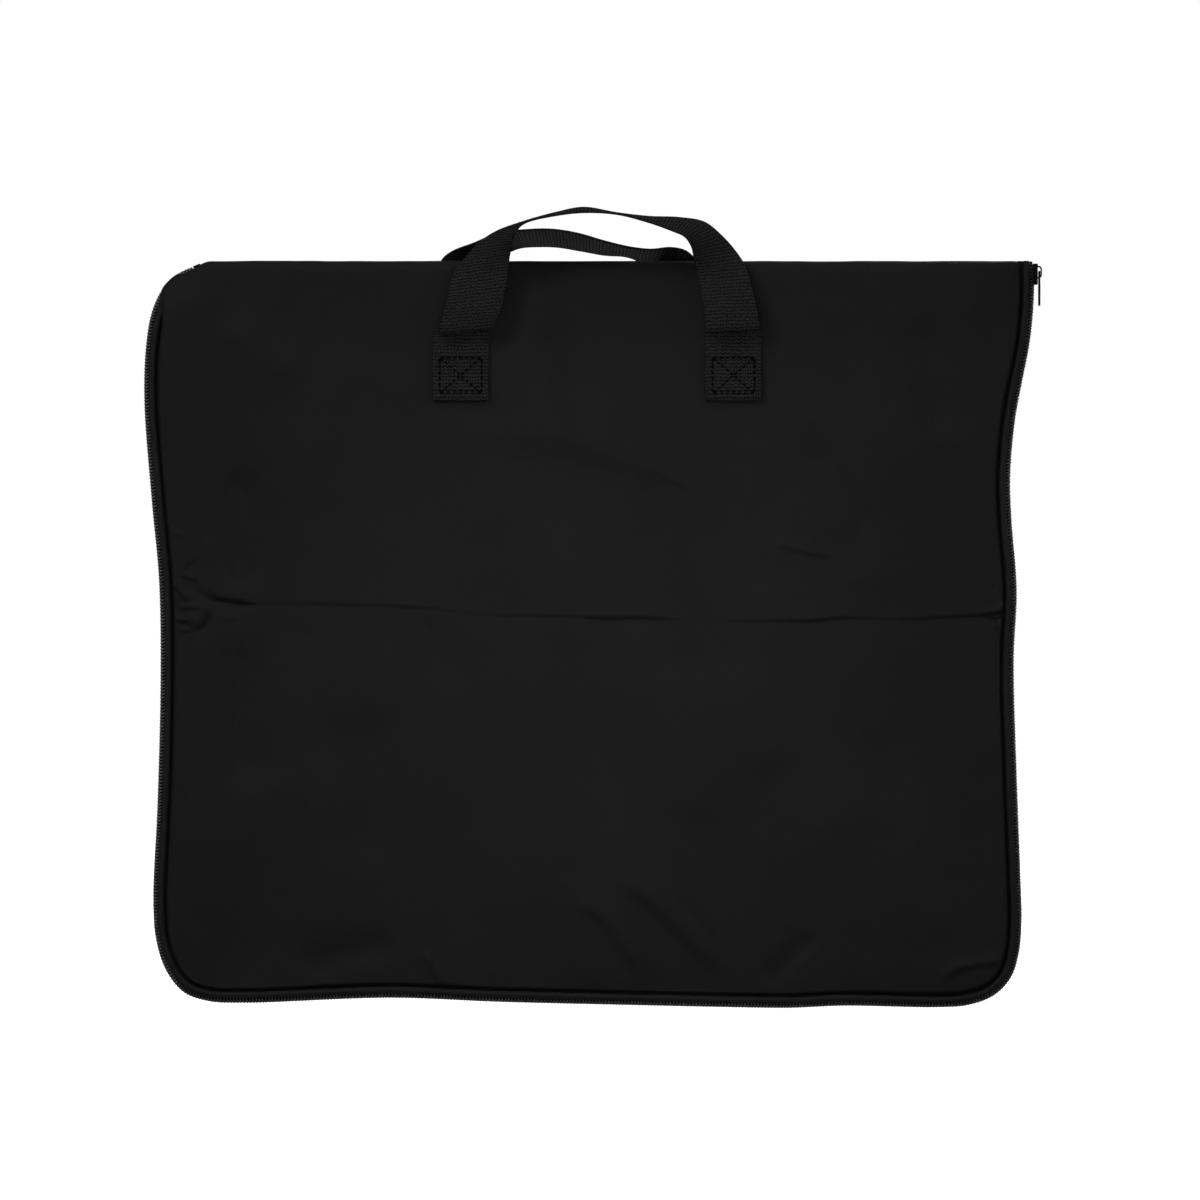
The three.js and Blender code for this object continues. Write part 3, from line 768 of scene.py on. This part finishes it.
def make_coil(name, side, start, end):
    """The nylon coil: one long helix, whose turns lie between the other half's turns."""
    per_turn, sides, wire = 10, 6, 0.58
    turns = int((end - start) / COIL_PITCH)
    k = np.arange(turns * per_turn + 1)
    angle = 2 * math.pi * k / per_turn
    s = start + COIL_PITCH * (k / per_turn + (0.5 if side == -1 else 0.0))
    depth = 1.5 + 1.85 * np.cos(angle)
    out = -1.95 + 1.35 * np.sin(angle)
    base, normal = on_zip(s)
    line = base + normal * out[:, None]
    centre = np.column_stack([line[:, 0], -side * depth, line[:, 1]])
    way = np.gradient(centre, axis=0)
    way /= np.linalg.norm(way, axis=1)[:, None]
    zip_way = np.column_stack([-normal[:, 1], np.zeros(len(s)), normal[:, 0]])
    first = np.cross(way, zip_way)
    first /= np.linalg.norm(first, axis=1)[:, None]
    second = np.cross(way, first)
    turn = 2 * math.pi * np.arange(sides) / sides
    rings = centre[:, None] + wire * (
        np.cos(turn)[None, :, None] * first[:, None] + 1.1 * np.sin(turn)[None, :, None] * second[:, None]
    )
    return tube(name + "_coil_teeth", rings, COIL, flip=True)


# ---------- webbing handles ----------
def strap(name, edges, spacing=1.4):
    """Webbing between two edges, given as (outer x, y, z, inner x, y, z) stations in millimetres."""
    line = even(centripetal(edges, 14), 900)
    middle = 0.5 * (line[:, :3] + line[:, 3:])
    s = lengths(middle)
    count = int(s[-1] / spacing)
    at = np.linspace(0, s[-1], count)
    taken = np.column_stack([np.interp(at, s, line[:, k]) for k in range(6)])
    outer, inner = taken[:, :3], taken[:, 3:]
    middle = 0.5 * (outer + inner)
    way = np.gradient(middle, axis=0)
    way /= np.linalg.norm(way, axis=1)[:, None]
    across = inner - outer
    wide = np.linalg.norm(across, axis=1)
    across /= wide[:, None]
    face = np.cross(across, way)
    face /= np.linalg.norm(face, axis=1)[:, None]
    bead = np.array([-1, -0.985, -0.96, -0.93, -0.75, -0.5, -0.25, 0, 0.25, 0.5, 0.75, 0.93, 0.96, 0.985, 1])
    full = np.sqrt(1 - np.clip((np.abs(bead) - 0.95) / 0.0502, 0, 1) ** 2)
    ring_x = np.concatenate([bead, bead[-2:0:-1]])
    ring_t = np.concatenate([full, -full[-2:0:-1]]) * WEB_THICK / 2
    cup = 0.35 * (1 - ring_x**2)
    fray = 0.12 * wander(at, 6, 21)
    rings = (
        middle[:, None]
        + across[:, None] * (ring_x[None, :, None] * (wide[:, None, None] / 2 + fray[:, None, None] * 0.5))
        + face[:, None] * (ring_t + cup * 0.4)[None, :, None]
    )
    flat_u = ring_x * WEB_WIDE / 2 + np.where(np.arange(len(ring_x)) >= len(bead), 60.0, 0.0)
    uv = np.stack([np.repeat(flat_u[None], count, 0), np.repeat(at[:, None], len(flat_u), 1)], -1)
    return tube(name, rings, WEB, uv, flip=True)


def sewn_end(x_out, x_in, side, rising=True):
    """Stations of a strap's sewn end: folded under at the bottom, then up the panel."""
    rows = [
        (10.75, 441), (10.8, 425), (10.85, 415.5), (11.3, 413.2), (12.2, 412.9), (12.75, 415), (12.6, 424),
        (12.55, 436), (12.5, 446),
    ]
    out = [(x_out, -side * y, z, x_in, -side * y, z) for y, z in rows]
    return out if rising else out[::-1]


# Both edges of each strap from end to end: (outer edge x, y, z, inner edge x, y, z)
FRONT_STRAP = [
    *sewn_end(*FRONT_LEFT, 1),
    (-107.2, -13.0, 454, -69.2, -13.0, 454.5), (-105.4, -14.0, 461, -68.8, -14.0, 464),
    (-103.2, -15.8, 464.5, -68.4, -15.8, 468.5), (-102.6, -17.8, 463, -67.8, -17.8, 467),
    (-102.4, -19.0, 459.2, -67.0, -19.0, 463), (-102.6, -21.0, 457.2, -66.6, -21.0, 461),
    (-102.6, -23.4, 459.5, -66.0, -23.4, 463), (-101.4, -25.0, 465.5, -63.6, -25.0, 468.5),
    (-99.3, -25.6, 473, -60.5, -25.6, 475.5), (-96.2, -25.2, 487, -57.3, -25.4, 492),
    (-92.6, -21.5, 499.5, -55.6, -27.0, 504), (-86.0, -15.8, 508.5, -54.4, -33.5, 512),
    (-77.5, -12.8, 518.5, -53.2, -41.0, 519), (-64.0, -12.0, 527.3, -49.8, -46.8, 526.6),
    (-45.0, -12.0, 534.0, -42.5, -49.6, 532.0), (-22.0, -12.0, 540.4, -21.0, -49.8, 536.6),
    (-5.0, -12.0, 543.4, -4.5, -49.4, 538.2), (17.7, -12.0, 539.6, 17.4, -49.8, 537.0),
    (40, -12.0, 537.2, 38.5, -49.4, 531.6), (60, -11.8, 536.6, 54.0, -47.8, 526.0),
    (77, -12.6, 533.5, 63.0, -44.0, 522.0), (89, -13.6, 524, 67.5, -40.4, 515.5),
    (97.5, -15.0, 514.5, 69.2, -35.0, 508.5), (103.8, -18.5, 505, 70.8, -29.5, 501),
    (107.6, -22.4, 494, 73.2, -26.4, 491.5), (110.6, -25.0, 481, 75.4, -25.6, 480),
    (112.8, -25.4, 470.5, 77.0, -25.2, 470), (113.4, -24.6, 464.5, 77.4, -24.6, 463),
    (113.8, -22.6, 460.6, 77.5, -22.6, 459), (114.2, -20.2, 461, 77.5, -20.2, 459.6),
    (114.6, -18.4, 465, 77.5, -18.4, 464), (115.0, -16.0, 467.6, 77.5, -16.0, 467),
    (115.3, -14.0, 463, 77.5, -14.0, 462.6), (115.4, -13.0, 455, 77.5, -13.0, 455),
    *sewn_end(*FRONT_RIGHT, 1, rising=False),
]
BACK_STRAP = [
    *sewn_end(*BACK_LEFT, -1),
    (-105, 13.0, 455, -67, 13.0, 455), (-105.2, 14.2, 464, -67.4, 14.2, 464),
    (-105.4, 16.2, 467, -67.8, 16.2, 467), (-105.6, 18.2, 463.5, -68.2, 18.2, 463.5),
    (-105.8, 20.4, 460, -68.6, 20.4, 460), (-106.2, 22.8, 462.6, -69.2, 22.8, 462.6),
    (-106.6, 24.2, 471, -69.8, 24.2, 471), (-106.2, 23.0, 484, -69.6, 25.0, 484),
    (-104.6, 18.6, 497, -68.0, 26.0, 496), (-102.6, 15.5, 509.0, -65.4, 28.8, 506.5),
    (-95.8, 13.2, 515.0, -61.2, 33.6, 513), (-80.0, 12.0, 521.0, -55.6, 40.4, 516.6),
    (-63.0, 12.0, 527.8, -48.6, 46.0, 519.6), (-43.5, 12.0, 530.0, -40.0, 48.6, 520.6),
    (-26.0, 12.0, 530.2, -24.0, 48.6, 520.4), (-8.0, 12.0, 527.2, -7.6, 48.8, 517.8),
    (9.0, 12.0, 522.2, 8.6, 49.4, 515.0), (26.5, 12.0, 518.0, 25.2, 49.6, 513.6),
    (41.0, 12.0, 516.6, 37.0, 48.4, 508.0), (54.0, 12.2, 518.0, 43.6, 45.2, 501.6),
    (64.5, 12.8, 516.0, 46.2, 40.6, 495.6), (71.5, 13.8, 509.5, 46.0, 35.0, 490.0),
    (76.0, 16.0, 499.0, 44.4, 29.2, 484.5), (78.4, 19.6, 486.0, 42.6, 26.0, 478.0),
    (79.2, 23.0, 473.5, 41.6, 24.6, 470.0), (79.4, 22.8, 463.0, 41.4, 22.8, 462.6),
    (79.3, 20.4, 460.0, 41.3, 20.4, 460.0), (79.2, 18.2, 463.5, 41.2, 18.2, 463.5),
    (79.1, 16.2, 467.0, 41.1, 16.2, 467.0), (79.0, 14.2, 464.0, 41.0, 14.2, 464.0),
    (79.0, 13.0, 455.0, 41.0, 13.0, 455.0),
    *sewn_end(*BACK_RIGHT, -1, rising=False),
]


def make_handle(name, edges):
    """One strap of webbing in place of the CAD's loop and ends; its sewn ends lie on the panel, and it turns
    in an S just above them.
    """
    web = strap(name + "_handle_webbing", edges)
    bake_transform(web)
    ends = [f"{name}_handle_end_{word}" for word in ("left", "right")]
    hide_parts(f"{name}_handle_loop", *ends)


def stitches(name, rows, face, side, length=2.9, gap=0.9, wide=0.8):
    """Rows of thread on the panel's face; each stitch is a short rounded length that dips in at both ends."""
    verts, faces, uvs = [], [], []
    around = 2 * math.pi * np.arange(6) / 6
    for a, b in rows:
        a, b = np.array(a, float), np.array(b, float)
        total = np.linalg.norm(b - a)
        way = (b - a) / total
        turned = np.array([-way[1], way[0]])
        count = max(1, int(round(total / (length + gap))))
        pitch = total / count
        for k in range(count):
            t = np.linspace(0.02, 1, 7)
            along = pitch * k + gap / 2 + (pitch - gap) * t
            arch = np.sin(math.pi * np.clip(t, 0, 1)) ** 0.5
            base = len(verts)
            for j, where in enumerate(along):
                spot = a + way * where
                lift = face + 0.35 * arch[j] - 0.3
                size = wide * (0.45 + 0.55 * arch[j])
                for turn in around:
                    p = spot + turned * size * math.cos(turn)
                    verts.append((p[0], -side * (lift + size * math.sin(turn)), p[1]))
                    uvs.append((where, turn * size))
            rings = len(along)
            faces += [list(f) for f in grid_faces(rings, 6, base, wrap=True)]
            faces.append([base + i for i in range(6)][::-1])
            faces.append([base + (rings - 1) * 6 + i for i in range(6)])
    return make(name, verts, faces, THREAD, uvs)


def make_stitching(name, word, x, side, body):
    """The sewn box with its cross, and a second, closer row along the bottom."""
    wide, low, high = 14.2, 417.6, 441.8
    left, right = x - wide, x + wide
    rows = [
        ((left, low), (right, low)), ((right, low), (right, high)), ((right, high), (left, high)),
        ((left, high), (left, low)), ((left, low), (right, high)), ((left, high), (right, low)),
        ((left, low + 1.7), (right, low + 1.7)),
    ]
    sewn = stitches(f"{name}_box_stitch_{word}", rows, THREAD_DEPTH, side)
    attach(sewn, body)
    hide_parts(f"{name}_stitching_{word}")


# ---------- CAD pieces that show as they are ----------
def finish_cad():
    """Paint on the slider, its pull and the two end stops."""
    for node in ("zip_slider", "zip_pull", "front_zip_stop", "back_zip_stop"):
        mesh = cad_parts[node].data
        mesh.materials.clear()
        mesh.materials.append(METAL)


# ---------- floor, light and camera ----------
def make_stage():
    """White floor and surroundings, six soft boxes and a weak sun."""
    bpy.ops.mesh.primitive_plane_add(size=7, location=(0, 0, -0.0005))
    floor = bpy.context.active_object
    floor.name = "floor"
    floor.visible_diffuse = False
    floor.visible_glossy = False
    n = Nodes("floor")
    n.finish(
        Base_Color=(0.9, 0.9, 0.9, 1), Roughness=0.9, Specular_IOR_Level=0.1,
        Emission_Color=(1, 1, 1, 1), Emission_Strength=1.0,
    )
    floor.data.materials.append(n.material)

    # The surroundings are white to the camera, and a dim fill to everything else.
    world = bpy.data.worlds.new("studio")
    bpy.context.scene.world = world
    world.use_nodes = True
    tree = world.node_tree
    sky = tree.nodes["Background"]
    sky.inputs[0].default_value = (1, 1, 1, 1)
    seen = tree.nodes.new("ShaderNodeLightPath").outputs["Is Camera Ray"]
    level = tree.nodes.new("ShaderNodeMapRange")
    level.inputs["To Min"].default_value = 0.10
    level.inputs["To Max"].default_value = 1.0
    tree.links.new(seen, level.inputs["Value"])
    tree.links.new(level.outputs[0], sky.inputs[1])

    # Name, place, target, size, spread and power of each
    softboxes = [
        ("key", (-1.1, -1.5, 1.75), (0, 0, 0.28), 0.5, math.pi, 10.5),
        ("front", (0.03, -0.85, 0.3), (0.02, 0, 0.25), 0.3, 1.0, 0.14),
        ("fill", (2.4, -1.6, 1.1), (0, 0, 0.28), 0.8, math.pi, 5),
        ("rear", (1.3, 1.9, 1.5), (0, 0, 0.3), 0.8, math.pi, 32),
        ("bounce", (0, -1.1, 0.05), (0, 0, 0.5), 0.8, math.pi, 0.5),
        ("low", (0, 0.5, 0.08), (-0.02, 0.03, 0.525), 0.15, 0.8, 0.22),
    ]
    for name, place, target, size, spread, power in softboxes:
        data = bpy.data.lights.new(name, "AREA")
        data.size = size
        data.spread = spread
        data.energy = power
        lamp = bpy.data.objects.new(name, data)
        lamp.location = place
        lamp.visible_camera = False
        lamp.rotation_euler = (Vector(target) - Vector(place)).to_track_quat("-Z", "Y").to_euler()
        bpy.context.scene.collection.objects.link(lamp)
    data = bpy.data.lights.new("overhead", "SUN")
    data.energy = 0.2
    data.angle = 0.7
    lamp = bpy.data.objects.new("overhead", data)
    lamp.rotation_euler = Vector((0.05, 0.35, -1)).to_track_quat("-Z", "Y").to_euler()
    bpy.context.scene.collection.objects.link(lamp)
    bpy.context.scene.view_settings.view_transform = "Standard"


def make_camera():
    """Straight on to the front panel, from far off, near the middle of its height."""
    distance, across = 4.2, 0.816
    data = bpy.data.cameras.new("camera")
    data.sensor_width = 36
    data.lens = 36 * distance / across
    camera = bpy.data.objects.new("camera", data)
    camera.location = (0.006, -distance, 0.2775)
    camera.rotation_euler = (math.pi / 2, 0, 0)
    bpy.context.scene.collection.objects.link(camera)
    bpy.context.scene.camera = camera


make_camera()
make_stage()
make_cover()
make_lining()
make_edge("front", 1, "front_panel")
make_edge("back", -1, "back_panel")
make_handle("front", FRONT_STRAP)
make_handle("back", BACK_STRAP)
for word, x in (("left", sum(FRONT_LEFT) / 2), ("right", sum(FRONT_RIGHT) / 2)):
    make_stitching("front", word, x, 1, "front_panel")
for word, x in (("left", sum(BACK_LEFT) / 2), ("right", sum(BACK_RIGHT) / 2)):
    make_stitching("back", word, x, -1, "back_panel")
finish_cad()
